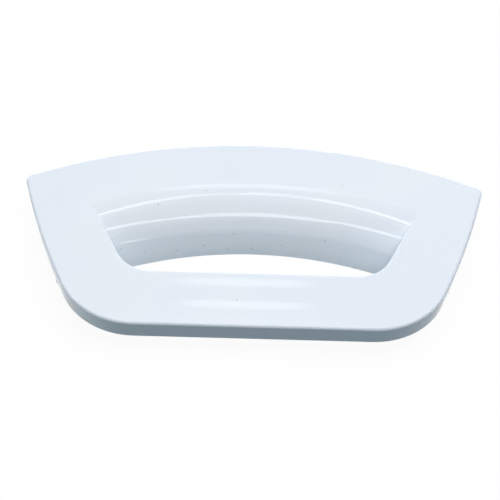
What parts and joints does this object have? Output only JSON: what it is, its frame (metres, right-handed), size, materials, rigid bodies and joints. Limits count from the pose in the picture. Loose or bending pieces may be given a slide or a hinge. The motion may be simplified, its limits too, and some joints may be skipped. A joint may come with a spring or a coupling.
{
  "type": "washing machine door handle",
  "caption": "Fixed pull handle for a front-loading washing machine door: a plate with an arched top edge and a scooped finger opening, held from behind by screws and snap hooks.",
  "frame": {"origin": "under the middle of the plate, level with the ends of the screw bosses that the handle lies on", "axes": "+X along the handle, +Y towards the arched edge that meets the door ring, +Z out of the front face"},
  "size_m": [0.2004, 0.1022, 0.0205],
  "materials": {
    "white_abs": "gloss, as moulded"
  },
  "bodies": {
    "root": {"door_handle": "white_abs"}
  },
  "joints": []
}
